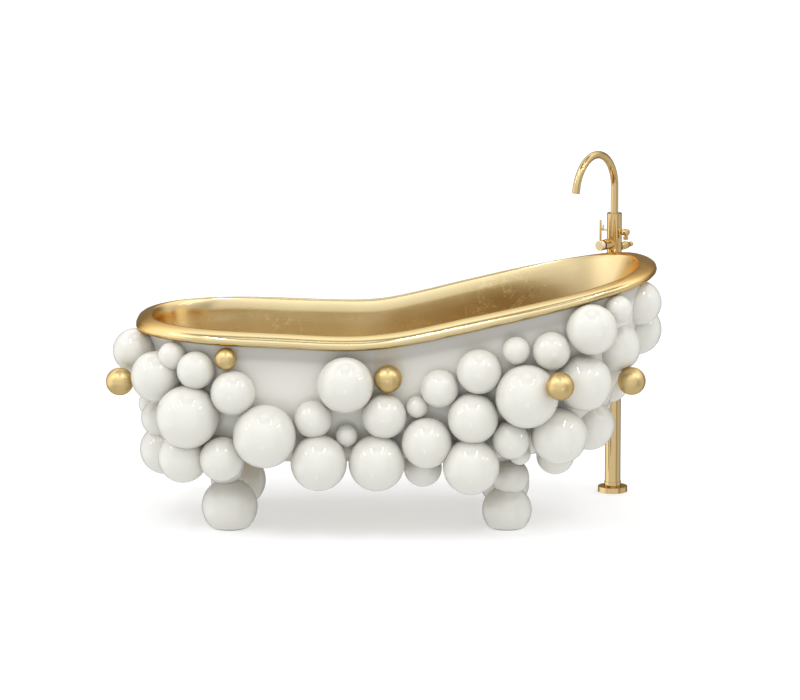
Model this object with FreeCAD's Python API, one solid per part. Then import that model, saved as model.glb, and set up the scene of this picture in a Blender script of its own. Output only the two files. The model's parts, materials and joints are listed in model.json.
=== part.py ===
import FreeCAD, Part
import math
import os

V = FreeCAD.Vector
X_AXIS = V(1, 0, 0)
Y_AXIS = V(0, 1, 0)
UP = V(0, 0, 1)
FULL_TURN = 360.0

# Rolled rim: centre line from tip to tip, then its oval hollow roll
rim_length = 1646.0
rim_half_width = 361.0
low_rim_height = 631.0
rim_rise = 195.0
roll_width = 62.0
roll_height = 38.0
roll_wall = 4.0
# Stations down one side, low tip to high tip: share of length, of half width and of rise
rim_station_shares = [
    (0.0, 0.0, 0.077),
    (0.012, 0.385, 0.09),
    (0.06, 0.66, 0.09),
    (0.15, 0.868, 0.075),
    (0.28, 0.918, 0.04),
    (0.40, 0.935, 0.0),
    (0.465, 0.922, 0.022),
    (0.53, 0.948, 0.113),
    (0.64, 0.982, 0.328),
    (0.76, 1.0, 0.574),
    (0.88, 0.905, 0.81),
    (0.96, 0.655, 0.955),
    (0.99, 0.365, 0.99),
    (1.0, 0.0, 1.0),
]
# Points of the roll's centre line used to find the balls that reach it
rim_sample_count = 240

# Outer skirt: its foot outline, its wall and the way it swells up to the collar
skirt_wall = 6.0
skirt_foot_height = 250.0
skirt_foot_length = 1240.0
skirt_foot_half_width = 300.0
skirt_foot_set_in = 111.0
# Rows from foot to collar: share of height, share of the way out in plan
skirt_row_shares = [(0.0, 0.0), (0.07, 0.26), (0.18, 0.5), (0.38, 0.73), (0.68, 0.89), (1.0, 1.0)]

# Flared collar between skirt and roll
collar_height = 52.0
collar_top_set_in = 3.0
collar_foot_set_in = 18.0

# Inner basin
basin_wall = 6.0
basin_floor_length = 1080.0
basin_floor_half_width = 232.0
basin_floor_set_in = 176.0
basin_top_set_in = 29.0
# Rows from floor to roll: share of height, share of the way out in plan
basin_row_shares = [
    (0.0, 0.0),
    (0.02, 0.13),
    (0.08, 0.32),
    (0.2, 0.52),
    (0.42, 0.72),
    (0.7, 0.855),
    (1.0, 1.0),
]

# Welded frame of square tube under the basin
frame_foot_height = 222.0
rail_size = 34.0
rail_wall = 3.0
rail_overhang = 26.0
frame_cross_shares = [0.3, 0.72]

# Feet: pads, bolts, and the flattened foot balls with the leg balls above them (shares of the frame's height)
leg_spread = 400.0
foot_pad_thickness = 3.0
foot_pad_set_in = 6.0
leg_bolt_radius = 8.0
leg_bolt_head_radius = 14.0
leg_bolt_head_height = 9.0
leg_bolt_overrun = 4.0
leg_nut_radius = 14.0
leg_nut_height = 10.0
hex_sides = 6
foot_low_radius_share = 0.412
foot_low_height_share = 0.315
foot_high_radius_share = 0.365
foot_high_height_share = 0.259
leg_ball_radius_share = 0.279
leg_ball_low_share = 0.914
leg_ball_high_share = 0.752
foot_front_low_x = -544.0
foot_back_low_x = -526.0
foot_high_x = 362.0
leg_ball_low_shift = -16.0
leg_ball_high_shift = 10.0

# Ball diameters
ball_72 = 72.0
ball_91 = 91.0
ball_124 = 124.0
ball_146 = 146.0
ball_165 = 165.0
ball_183 = 183.0
ball_206 = 206.0
# White balls on the skirt: share of the way round from the low tip by the front, share of the way up
# (below 0 and above 1 in collar heights), share of its radius that its centre stands off the wall
white_72_shares = [
    (0.210, 0.36, 0.93),
    (0.263, 0.59, 0.81),
    (0.390, 0.09, 0.36),
    (0.737, 0.58, 0.87),
    (0.791, 0.40, 0.97),
]
white_91_shares = [
    (0.003, 0.46, 0.62),
    (0.066, 1.10, 0.64),
    (0.338, 0.92, 0.61),
    (0.421, 1.21, 0.51),
    (0.662, 0.92, 0.66),
    (0.925, 0.96, 0.50),
]
white_124_shares = [
    (0.026, 0.37, 0.21),
    (0.088, 0.92, 0.55),
    (0.182, 0.52, 0.62),
    (0.279, 0.73, 0.58),
    (0.303, -0.91, -0.43),
    (0.358, 0.27, 0.75),
    (0.367, 0.87, 0.56),
    (0.436, 0.06, 0.42),
    (0.464, 0.47, -0.50),
    (0.533, 0.88, -0.30),
    (0.641, 0.23, 0.75),
    (0.632, 0.86, 0.58),
    (0.721, 0.77, 0.60),
    (0.818, 0.50, 0.66),
    (0.971, 0.34, 0.25),
    (0.978, 0.77, 0.45),
]
white_146_shares = [
    (0.020, 0.98, 0.82),
    (0.117, 0.74, 0.57),
    (0.102, 0.13, 0.83),
    (0.238, 0.54, 0.62),
    (0.310, 0.82, 0.56),
    (0.467, 0.97, -0.05),
    (0.558, 0.67, -0.33),
    (0.604, 0.60, 0.44),
    (0.692, 0.83, 0.59),
    (0.764, 0.50, 0.64),
    (0.884, 0.71, 0.61),
    (0.899, 0.13, 0.82),
    (0.949, 0.79, 0.50),
    (0.976, 0.03, 0.55),
]
white_165_shares = [
    (0.051, 0.82, 0.55),
    (0.019, 0.08, 0.57),
    (0.067, 0.14, 0.84),
    (0.282, 0.28, 0.66),
    (0.314, 0.46, 0.62),
    (0.447, 0.25, 0.00),
    (0.396, 0.96, 0.57),
    (0.440, 0.74, -0.25),
    (0.490, 0.78, -0.02),
    (0.553, 0.26, -0.03),
    (0.604, 0.26, 0.56),
    (0.686, 0.44, 0.64),
    (0.719, 0.26, 0.71),
    (0.750, 0.06, 0.77),
    (0.797, 0.85, 0.61),
    (0.935, 0.11, 0.85),
]
white_183_shares = [
    (0.205, 0.86, 0.58),
    (0.191, 0.12, 0.78),
    (0.250, 0.08, 0.75),
    (0.344, 0.07, 0.81),
    (0.396, 0.30, 0.61),
    (0.401, 0.61, 0.37),
    (0.657, 0.05, 0.75),
    (0.808, 0.10, 0.77),
    (0.862, 0.35, 0.66),
]
white_206_shares = [
    (0.081, 0.51, 0.61),
    (0.141, 0.37, 0.64),
    (0.354, 0.59, 0.60),
    (0.647, 0.57, 0.53),
    (0.918, 0.46, 0.55),
]
gold_72_shares = [(0.112, 1.26, 0.88), (0.742, 1.01, 0.96), (0.845, 0.91, 0.98)]
gold_91_shares = [
    (0.035, 0.78, 2.95),
    (0.237, 0.89, 0.95),
    (0.373, 0.69, 3.44),
    (0.440, 0.59, 1.53),
    (0.762, 0.88, 0.98),
]

# Gold balls that stand off the wall: least stand share, how deep the bond to their white ball goes
proud_stand_share = 1.2
proud_bond_depth = 2.0

# Waste in the basin floor at the low end
waste_x = -563.0
waste_flange_radius = 35.0
waste_flange_thickness = 3.0
waste_throat_radius = 21.0
waste_body_radius = 24.0
waste_body_length = 62.0
waste_gasket_radius = 34.0
waste_gasket_thickness = 3.0
waste_nut_radius = 36.0
waste_nut_height = 11.0
waste_plug_radius = 31.0
waste_plug_thickness = 5.0
waste_plug_crown = 3.0
plug_dome_share = 0.8
waste_arm_count = 3
waste_stem_radius = 4.0
waste_stem_length = 46.0
waste_guide_radius = 8.0
waste_guide_height = 8.0
waste_guide_depth = 26.0
waste_arm_width = 4.0
waste_tail_radius = 16.0
waste_tail_wall = 1.5
waste_tail_height = 94.0
waste_tail_length = 36.0
waste_bend_radius = 24.0
waste_cup_floor = 4.0

# Bath filler: where it stands (shares of the rim's half length and half width), where its valve and spout point
tap_end_share = 0.882
tap_side_share = 0.943
tap_turn_deg = -128.5
spout_turn_deg = 5.0
tap_plate_radius = 41.0
tap_plate_thickness = 4.0
tap_screw_hole_radius = 3.3
tap_screw_circle = 68.0
tap_screw_count = 4
tap_flange_radius = 49.0
tap_flange_height = 18.0
tap_flange_wall = 4.0
tap_column_radius = 26.0
tap_column_wall = 2.0
tap_collar_height = 16.0
tap_collar_wall = 1.6
tap_grub_radius = 2.5
tap_grub_sink = 0.6
base_grub_deg = 38.5
top_grub_deg = 81.5
top_grub_drop = 6.5
tap_supply_radius = 6.0
tap_supply_wall = 1.0
tap_supply_spread = 20.0
tap_supply_offset = 8.0
tap_supply_entry = 22.0
tap_body_radius = 24.75
tap_body_rise = 120.5
tap_body_length = 186.5
tap_spigot_length = 25.0
tap_way_radius = 5.0

# Spout: tube, its bend and the aerator on its end
spout_radius = 12.5
spout_wall = 2.0
spout_bend_radius = 121.5
spout_bend_deg = 165.0
spout_bend_rise = 90.5
spout_entry = 32.0
spout_bush_wall = 3.0
spout_seal_height = 4.0
aerator_radius = 13.0
aerator_wall = 1.8
aerator_length = 22.0
aerator_insert_height = 8.0
aerator_insert_lift = 2.0
aerator_hole_radius = 1.2
aerator_hole_circle = 6.0
aerator_hole_count = 8

# Mixer on the body's front: housing, cartridge, turning yoke and the tilting cap with its pin lever
mixer_drop = 99.5
mixer_housing_radius = 17.0
mixer_housing_reach = 64.0
mixer_housing_root = 10.0
mixer_cartridge_radius = 12.5
mixer_cartridge_root = -3.0
mixer_cartridge_reach = 38.0
mixer_nut_length = 4.0
mixer_spindle_radius = 4.0
mixer_spindle_depth = 14.0
mixer_yoke_radius = 9.0
mixer_yoke_length = 5.0
mixer_cheek_thickness = 3.0
mixer_tongue_width = 7.0
mixer_pivot_reach = 64.0
mixer_pivot_radius = 1.5
mixer_cap_gap = 6.0
mixer_cap_thickness = 14.0
mixer_cap_chamfer = 1.0
lever_radius = 3.5
lever_set_back = 7.0
lever_rise = 86.0
lever_socket = 6.0

# Diverter on the body's back: bonnet, spindle and bottle-shaped knob
diverter_drop = 117.5
diverter_bonnet_radius = 10.0
diverter_bonnet_reach = 33.0
diverter_plug_radius = 7.5
diverter_plug_root = 10.0
diverter_spindle_root = 14.0
diverter_spindle_radius = 4.0
diverter_spindle_socket = 16.0
diverter_knob_radius = 13.0
diverter_knob_length = 66.0
# Knob outline: share of length, share of radius
diverter_knob_shares = [
    (0.0, 0.92),
    (0.04, 1.0),
    (0.42, 1.0),
    (0.58, 0.86),
    (0.72, 0.60),
    (0.80, 0.56),
    (0.86, 0.63),
    (0.95, 0.63),
    (1.0, 0.45),
]

# Hand shower outlet and hook on one cross axis
cross_drop = 60.5
outlet_root_radius = 7.5
outlet_radius = 11.0
outlet_reach = 57.0
outlet_rim = 4.0
nipple_reach = 47.5
nipple_radius = 4.5
nipple_flare_radius = 8.0
nipple_flare_height = 9.0
nipple_drop = 24.0
nipple_bore_radius = 3.0
hook_radius = 3.0
hook_reach = 47.0
hook_ball_radius = 5.0
hook_peg_radius = 2.2
hook_peg_height = 15.0
cross_socket = 6.0
chamfer_share = 0.25

# Clearances and cutting allowance
seat_gap = 0.3
roll_bead_gap = 1.0
running_clearance = 0.05
cut_over = 5.0


def cylinder(radius, height, foot, direction=UP):
    return Part.makeCylinder(radius, height, foot, direction)


def tube(outer_radius, inner_radius, height, foot, direction=UP):
    outer = cylinder(outer_radius, height, foot, direction)
    bore_foot = foot - direction * cut_over
    return outer.cut(cylinder(inner_radius, height + cut_over * 2, bore_foot, direction))


def revolved(outline, place=V(0, 0, 0)):
    """Solid turned about the Z axis from a closed outline of radius and height pairs."""
    points = [V(radius, 0, height) for radius, height in outline]
    face = Part.Face(Part.makePolygon(points + points[:1]))
    solid = face.revolve(V(0, 0, 0), UP, FULL_TURN)
    solid.translate(place)
    return solid


def laid_along(solid, direction):
    """Turns a solid built along Z so that it points along a level direction."""
    axis = UP.cross(direction)
    solid.rotate(V(0, 0, 0), axis, FULL_TURN / 4)
    return solid


def station_points(length, half_width, low_x, heights):
    """Closed plan outline through the rim's stations, low tip first, front side first."""
    count = len(rim_station_shares)
    side = [V(low_x + length * along, -half_width * out, height)
            for (along, out, _), height in zip(rim_station_shares, heights)]
    back = [V(side[i].x, -side[i].y, side[i].z) for i in range(count - 2, 0, -1)]
    return side + back


def closed_curve(points):
    """Smooth closed curve through one point per station, square to the tub's length at the low tip."""
    curve = Part.BSplineCurve()
    pace = Y_AXIS * (-points[0].distanceToPoint(points[1]) / station_parameters[1])
    curve.interpolate(Points=points + points[:1], Parameters=station_parameters, InitialTangent=pace,
                      FinalTangent=pace, Scale=False)
    return curve


def closed_wire(points):
    """Closed curve as a wire of its front half and its back half."""
    curve = closed_curve(points)
    return Part.Wire([curve.toShape(0, 0.5), curve.toShape(0.5, 1)])


def even_parameters(points):
    """Position of each station round the outline, from 0 to 1 back at the low tip."""
    reached = [0.0]
    for i, point in enumerate(points):
        reached.append(reached[-1] + point.distanceToPoint(points[(i + 1) % len(points)]))
    return [r / reached[-1] for r in reached]


def station_frames():
    """Place, outward direction and upward direction of the roll at each station."""
    curve = closed_curve(rim_points)
    last = len(rim_station_shares) - 1
    result = []
    for i, place in enumerate(rim_points):
        k = i if i <= last else len(rim_points) - i
        before = rim_points[max(k - 1, 0)]
        after = rim_points[min(k + 1, last)]
        lean = V(before.z - after.z, 0, after.x - before.x)
        tangent = V(*curve.tangent(station_parameters[i])[0])
        out = tangent.cross(lean).normalize()
        result.append((place, out, out.cross(tangent).normalize()))
    return result


def rim_offset(out_by, up_by):
    """Points carried by the roll, moved outwards and upwards from its centre line."""
    return [place + out * out_by + up * up_by for place, out, up in frames]


def wall_rows(foot, top, row_shares, thicken):
    """Outlines between a foot outline and a top outline, each grown outwards in plan."""
    rows = []
    for height_share, plan_share in row_shares:
        row = []
        for low, high, outward in zip(foot, top, plan_normals):
            x = low.x + (high.x - low.x) * plan_share
            y = low.y + (high.y - low.y) * plan_share
            z = low.z + (high.z - low.z) * height_share
            row.append(V(x, y, z) + outward * thicken)
        rows.append(row)
    return rows


def loft_faces(rows, ruled):
    return Part.makeLoft([closed_wire(row) for row in rows], False, ruled).Faces


def ring_faces(outer, inner):
    pairs = zip(closed_wire(outer).Edges, closed_wire(inner).Edges)
    return [Part.makeRuledSurface(outer_edge, inner_edge).Faces[0] for outer_edge, inner_edge in pairs]


def flat_face(row):
    return [Part.Face(closed_wire(row))]


def solid_from(faces):
    """One closed solid sewn from the faces round it."""
    shell = Part.makeShell(faces)
    shell.sewShape()
    solid = Part.makeSolid(Part.Shell(shell.Faces))
    if solid.Volume < 0:
        solid.reverse()
    return solid


def ring_wall(outer_rows, inner_rows, ruled):
    """Open ring between an outer and an inner wall."""
    faces = loft_faces(outer_rows, ruled) + loft_faces(inner_rows, ruled)
    faces += ring_faces(outer_rows[-1], inner_rows[-1]) + ring_faces(outer_rows[0], inner_rows[0])
    return solid_from(faces)


def roll(width, height):
    """Closed oval bar swept round the rim, upright to its lean."""
    place, out, up = frames[0]
    oval = Part.Ellipse(place + out * (width / 2), place + up * (height / 2), place)
    sweep = Part.BRepOffsetAPI.MakePipeShell(closed_wire(rim_points))
    sweep.setAuxiliarySpine(closed_wire(rim_offset(0, roll_height)), True, 0)
    sweep.add(Part.Wire([oval.toShape()]))
    sweep.build()
    sweep.makeSolid()
    return sweep.shape()


def rim_roll():
    """Hollow rolled rim."""
    return roll(roll_width, roll_height).cut(roll(roll_width - roll_wall * 2, roll_height - roll_wall * 2))


def basin():
    """Inner basin with a flat floor and the hole for its waste."""
    inner = wall_rows(basin_floor, basin_top, basin_row_shares, 0)
    outer_floor = [point - UP * basin_wall for point in basin_floor]
    outer = wall_rows(outer_floor, basin_top, basin_row_shares, basin_wall)
    faces = loft_faces(inner, False) + loft_faces(outer, False) + ring_faces(outer[-1], inner[-1])
    shell = solid_from(faces + flat_face(inner[0]) + flat_face(outer[0]))
    hole_foot = waste_place(basin_floor_height - basin_wall - cut_over)
    return shell.cut(cylinder(waste_body_radius + seat_gap, basin_wall + cut_over * 2, hole_foot))


def skirt():
    return ring_wall(skirt_rows, wall_rows(skirt_foot, skirt_top, skirt_row_shares, -skirt_wall), False)


def collar():
    """Flared band from the skirt's top up to the underside of the roll."""
    inner = [[point - outward * skirt_wall for point, outward in zip(row, plan_normals)]
             for row in collar_rows]
    return ring_wall(collar_rows, inner, True)


def seat_core():
    """The whole tub as a filled block a seat gap larger, which shapes the seats of the balls."""
    lower = wall_rows(skirt_foot, skirt_top, skirt_row_shares, seat_gap)
    lower[0] = [point - UP * seat_gap for point in lower[0]]
    upper = [[point + outward * seat_gap for point, outward in zip(row, plan_normals)]
             for row in collar_rows]
    lid = [V(point.x, point.y, core_height) for point in upper[1]]
    faces = loft_faces(lower, False) + loft_faces([lower[-1], upper[0]], True)
    faces += loft_faces(upper, True) + loft_faces([upper[1], lid], True)
    return solid_from(faces + flat_face(lower[0]) + flat_face(lid))


def wall_place(round_share, up_share):
    """Point and outward direction on the skirt's outer face, past its edges by collar heights."""
    half = skirt_faces[int(round_share * 2)]
    skirt_share = min(max(up_share, 0), 1)
    point = half.valueAt(round_share * 2, skirt_share) + UP * (collar_height * (up_share - skirt_share))
    normal = half.normalAt(round_share * 2, skirt_share)
    centre = V(basin_centre_x, 0, point.z)
    if normal.dot(point - centre) < 0:
        normal = normal * -1
    return point, normal


def drawn_to_white(centre, radius, balls):
    """Where a proud gold ball meets the nearest white ball that it is bonded to."""
    whites = [ball for ball in balls if ball[0].startswith("white")]
    _, other, other_radius, _ = min(whites, key=lambda ball: centre.distanceToPoint(ball[1]) - ball[2])
    return other + (centre - other).normalize() * (radius + other_radius - proud_bond_depth)


def ball_list():
    """Every ball as node name, centre, radius and the direction it faces."""
    balls = []
    groups = [
        ("white_balls_72mm", ball_72, white_72_shares),
        ("white_balls_91mm", ball_91, white_91_shares),
        ("white_balls_124mm", ball_124, white_124_shares),
        ("white_balls_146mm", ball_146, white_146_shares),
        ("white_balls_165mm", ball_165, white_165_shares),
        ("white_balls_183mm", ball_183, white_183_shares),
        ("white_balls_206mm", ball_206, white_206_shares),
        ("gold_balls_72mm", ball_72, gold_72_shares),
        ("gold_balls_91mm", ball_91, gold_91_shares),
    ]
    for name, diameter, rows in groups:
        for round_share, up_share, stand_share in rows:
            point, normal = wall_place(round_share, up_share)
            centre = point + normal * (stand_share * diameter / 2)
            if name.startswith("gold") and stand_share > proud_stand_share:
                centre = drawn_to_white(centre, diameter / 2, balls)
            balls.append((name, centre, diameter / 2, normal))
    for name, x, y, radius, height, leg_x, leg_height in legs:
        balls.append(("foot_ball_" + name, V(x, y, height), radius, UP))
        balls.append(("leg_ball_" + name, V(leg_x, y, leg_height), leg_ball_radius, UP))
    return balls


def cut_beyond(ball, centre, radius, other, other_radius):
    """Takes away what lies past the plane between a ball and its neighbour."""
    gap = centre.distanceToPoint(other)
    reach = (gap * gap + radius * radius - other_radius * other_radius) / (gap * 2) - seat_gap / 2
    direction = (other - centre).normalize()
    return ball.cut(cylinder(radius * 2, radius * 2, centre + direction * reach, direction))


def near_rim(centre, radius):
    """Whether a ball reaches the roll."""
    nearest = min(centre.distanceToPoint(p) for p in rim_samples)
    return nearest < radius + roll_width / 2 + seat_gap


def trimmed_balls():
    """All balls, cut to their seats and to each other, grouped by node."""
    core = seat_core()
    grown_roll = roll(roll_width + seat_gap * 2, roll_height + seat_gap * 2)
    rail_blocks = rails(seat_gap)
    balls = ball_list()
    nodes = {}
    for name, centre, radius, facing in balls:
        ball = Part.makeSphere(radius, centre, facing)
        for _, other, other_radius, _ in balls:
            if other != centre and centre.distanceToPoint(other) < radius + other_radius + seat_gap:
                ball = cut_beyond(ball, centre, radius, other, other_radius)
        ball = ball.cut(core)
        if near_rim(centre, radius):
            ball = ball.cut(grown_roll)
        for blocker in ball_blockers(name, radius) + rail_blocks:
            if ball.BoundBox.intersect(blocker.BoundBox):
                ball = ball.cut(blocker)
        nodes.setdefault(name, []).append(max(ball.Solids, key=lambda solid: solid.Volume))
    return nodes


def ball_blockers(name, radius):
    """Cuts in the feet and legs: floor flats, bolt holes and head recesses."""
    cuts = []
    for leg, x, y, foot_radius, foot_height, leg_x, leg_height in legs:
        if not name.endswith(leg):
            continue
        cuts.append(cylinder(leg_bolt_radius + seat_gap, frame_foot_height + cut_over, V(x, y, 0)))
        if name.startswith("foot"):
            cuts.append(cylinder(radius * 2, radius * 2, V(x, y, foot_pad_thickness), UP * -1))
            head = leg_bolt_head_height + seat_gap * 2
            cuts.append(cylinder(leg_bolt_head_radius + seat_gap, head + foot_pad_thickness, V(x, y, 0)))
    return cuts


def rails(grow):
    """The two rails over the feet as filled bars, grown on every side."""
    low_x = min(leg[1] for leg in legs) - rail_overhang - grow
    high_x = max(leg[1] for leg in legs) + rail_overhang + grow
    size = rail_size + grow * 2
    bars = []
    for side in (-1, 1):
        corner = V(low_x, side * leg_spread / 2 - size / 2, frame_foot_height - grow)
        bars.append(Part.makeBox(high_x - low_x, size, size, corner))
    return bars


def support_frame():
    """Two rails over the feet joined by two cross tubes, with holes for the leg bolts."""
    bars = rails(0)
    box = bars[0].BoundBox
    inside = rail_size - rail_wall * 2
    hollows = []
    for side in (-1, 1):
        hollow_foot = V(box.XMin - cut_over, side * leg_spread / 2 - inside / 2, frame_foot_height + rail_wall)
        hollows.append(Part.makeBox(box.XLength + cut_over * 2, inside, inside, hollow_foot))
    cross_length = leg_spread - rail_size
    for share in frame_cross_shares:
        x = box.XMin + box.XLength * share - rail_size / 2
        corner = V(x, -cross_length / 2, frame_foot_height)
        bars.append(Part.makeBox(rail_size, cross_length, rail_size, corner))
        hollows.append(Part.makeBox(inside, cross_length, inside, corner + V(rail_wall, 0, rail_wall)))
    frame = bars[0].multiFuse(bars[1:])
    for hollow in hollows:
        frame = frame.cut(hollow)
    for _, x, y, *_ in legs:
        hole_foot = V(x, y, frame_foot_height - cut_over)
        frame = frame.cut(cylinder(leg_bolt_radius + seat_gap, rail_wall + cut_over * 2, hole_foot))
    return frame.removeSplitter()


def leg_bolts():
    """Bolts up through foot ball and leg ball into the rails, and their nuts inside the rails."""
    bolts = []
    nuts = []
    nut_foot = frame_foot_height + rail_wall
    top = nut_foot + leg_nut_height + leg_bolt_overrun
    nut_bore = leg_bolt_radius + running_clearance
    for _, x, y, *_ in legs:
        foot = foot_pad_thickness + seat_gap
        head = cylinder(leg_bolt_head_radius, leg_bolt_head_height, V(x, y, foot))
        bolts.append(head.fuse(cylinder(leg_bolt_radius, top - foot, V(x, y, foot))))
        nuts.append(hexagon(leg_nut_radius, leg_nut_height, nut_bore, V(x, y, nut_foot)))
    return {"leg_bolts": bolts, "leg_bolt_nuts": nuts}


def foot_pads():
    pads = []
    for _, x, y, radius, height, *_ in legs:
        flat_radius = math.sqrt(radius * radius - (height - foot_pad_thickness) ** 2)
        pads.append(cylinder(flat_radius - foot_pad_set_in, foot_pad_thickness, V(x, y, 0)))
    return pads


def hexagon(radius, height, bore, foot):
    """Hexagonal nut with a plain bore."""
    corners = []
    for k in range(hex_sides + 1):
        angle = 2 * math.pi * k / hex_sides
        corners.append(foot + V(radius * math.cos(angle), radius * math.sin(angle), 0))
    nut = Part.Face(Part.makePolygon(corners)).extrude(UP * height)
    return nut.cut(cylinder(bore, height + cut_over * 2, foot - UP * cut_over))


def waste_place(height):
    return V(waste_x, 0, height)


def waste_body():
    """Waste tube with a small guide for the plug's stem held on three arms."""
    foot = basin_floor_height - waste_body_length
    body = tube(waste_body_radius, waste_throat_radius, waste_body_length, waste_place(foot))
    guide_foot = waste_place(basin_floor_height - waste_guide_depth - waste_guide_height)
    guide = cylinder(waste_guide_radius, waste_guide_height, guide_foot)
    arm_length = (waste_throat_radius + waste_body_radius) / 2
    for k in range(waste_arm_count):
        corner = guide_foot - Y_AXIS * (waste_arm_width / 2)
        arm = Part.makeBox(arm_length, waste_arm_width, waste_guide_height, corner)
        arm.rotate(guide_foot, UP, FULL_TURN * k / waste_arm_count)
        guide = guide.fuse(arm)
    bore_foot = guide_foot - UP * cut_over
    bore = cylinder(waste_stem_radius + running_clearance, waste_guide_height + cut_over * 2, bore_foot)
    return body.fuse(guide.cut(bore))


def waste_plug():
    """Domed push plug with its stem, closed on the flange."""
    base = basin_floor_height + waste_flange_thickness + seat_gap
    outline = [
        (0, -waste_stem_length),
        (waste_stem_radius, -waste_stem_length),
        (waste_stem_radius, 0),
        (waste_plug_radius, 0),
        (waste_plug_radius, waste_plug_thickness),
        (waste_plug_radius * plug_dome_share, waste_plug_thickness + waste_plug_crown * plug_dome_share),
        (waste_plug_radius * plug_dome_share / 2, waste_plug_thickness + waste_plug_crown),
        (0, waste_plug_thickness + waste_plug_crown),
    ]
    return revolved(outline, waste_place(base))


def bent_tube(radius, wall, start, straight, bend_radius, bend_deg, towards):
    """Straight tube going the way of `straight`, then bent towards a level or upright direction."""
    outer = bent_bar(radius, start, straight, bend_radius, bend_deg, towards)
    return outer.cut(bent_bar(radius - wall, start, straight, bend_radius, bend_deg, towards))


def bent_bar(radius, start, straight, bend_radius, bend_deg, towards):
    heading = V(straight).normalize()
    corner = start + straight
    bar = cylinder(radius, straight.Length, start, heading)
    disc = Part.Face(Part.Wire([Part.makeCircle(radius, corner, heading)]))
    bend = disc.revolve(corner + towards * bend_radius, heading.cross(towards), bend_deg)
    return bar.fuse(bend)


def waste():
    """Everything of the waste except its plug."""
    floor = basin_floor_height
    under = floor - basin_wall
    body_foot = floor - waste_body_length
    flange = tube(waste_flange_radius, waste_throat_radius, waste_flange_thickness, waste_place(floor))
    sleeve = waste_body_radius + seat_gap
    gasket_foot = under - waste_gasket_thickness
    gasket = tube(waste_gasket_radius, sleeve, waste_gasket_thickness, waste_place(gasket_foot))
    nut = hexagon(waste_nut_radius, waste_nut_height, sleeve, waste_place(gasket_foot - waste_nut_height))
    cup = tube(waste_body_radius, waste_tail_radius - waste_tail_wall, waste_cup_floor,
               waste_place(body_foot - waste_cup_floor))
    drop = body_foot - waste_cup_floor - waste_tail_height - waste_bend_radius
    bend = bent_tube(waste_tail_radius, waste_tail_wall, waste_place(body_foot - waste_cup_floor), UP * -drop,
                     waste_bend_radius, FULL_TURN / 4, X_AXIS)
    tail_start = V(waste_x + waste_bend_radius, 0, waste_tail_height)
    tail = tube(waste_tail_radius, waste_tail_radius - waste_tail_wall, waste_tail_length, tail_start, X_AXIS)
    return {
        "waste_flange": flange,
        "waste_body": waste_body(),
        "waste_gasket": gasket,
        "waste_nut": nut,
        "waste_elbow": cup.fuse(bend),
        "waste_tail_pipe": tail,
        "waste_plug": waste_plug(),
    }


def tap_base():
    """Floor plate with its screw holes, cover flange, collar, column and supply tubes."""
    plate = cylinder(tap_plate_radius, tap_plate_thickness, V(0, 0, 0))
    for k in range(tap_screw_count):
        angle = 2 * math.pi * k / tap_screw_count + math.pi / tap_screw_count
        place = V(math.cos(angle), math.sin(angle), 0) * (tap_screw_circle / 2)
        plate = plate.cut(cylinder(tap_screw_hole_radius, tap_plate_thickness + cut_over, place))
    tubes = []
    tube_top = tap_column_top - tap_spigot_length + tap_supply_entry
    for side in (-1, 1):
        place = V(tap_supply_offset, side * tap_supply_spread / 2, 0)
        plate = plate.cut(cylinder(tap_supply_radius + seat_gap, tap_plate_thickness + cut_over, place))
        tubes.append(tube(tap_supply_radius, tap_supply_radius - tap_supply_wall, tube_top, place))
    sleeve = tap_column_radius + seat_gap
    flange = tube(tap_flange_radius, sleeve, tap_flange_height, V(0, 0, 0))
    hollow_radius = tap_flange_radius - tap_flange_wall
    flange = flange.cut(cylinder(hollow_radius, tap_flange_height - tap_flange_wall, V(0, 0, 0)))
    collar = tube(tap_column_radius + tap_collar_wall, sleeve, tap_collar_height, V(0, 0, tap_flange_height))
    column_length = tap_column_top - tap_plate_thickness
    column_bore = tap_column_radius - tap_column_wall
    column = tube(tap_column_radius, column_bore, column_length, V(0, 0, tap_plate_thickness))
    grub_height = tap_flange_height + tap_collar_height / 2
    base_grub = grub(grub_height, base_grub_deg, sleeve, tap_column_radius + tap_collar_wall)
    return {
        "tap_floor_plate": plate,
        "tap_base_flange": flange,
        "tap_base_collar": collar.cut(grub_hole(base_grub)),
        "tap_column": column,
        "cold_supply_tube": tubes[0],
        "hot_supply_tube": tubes[1],
    }, base_grub


def grub(height, angle_deg, inner, outer):
    """Place of a small level screw: axis point, direction, inner and outer reach."""
    angle = math.radians(angle_deg)
    return V(0, 0, height), V(math.cos(angle), math.sin(angle), 0), inner, outer


def grub_hole(screw):
    centre, direction, inner, outer = screw
    length = outer - inner + cut_over * 2
    foot = centre + direction * (inner - cut_over)
    return cylinder(tap_grub_radius + running_clearance, length, foot, direction)


def grub_screw(screw):
    centre, direction, inner, outer = screw
    length = outer - inner - tap_grub_sink
    return cylinder(tap_grub_radius, length, centre + direction * inner, direction)


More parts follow.
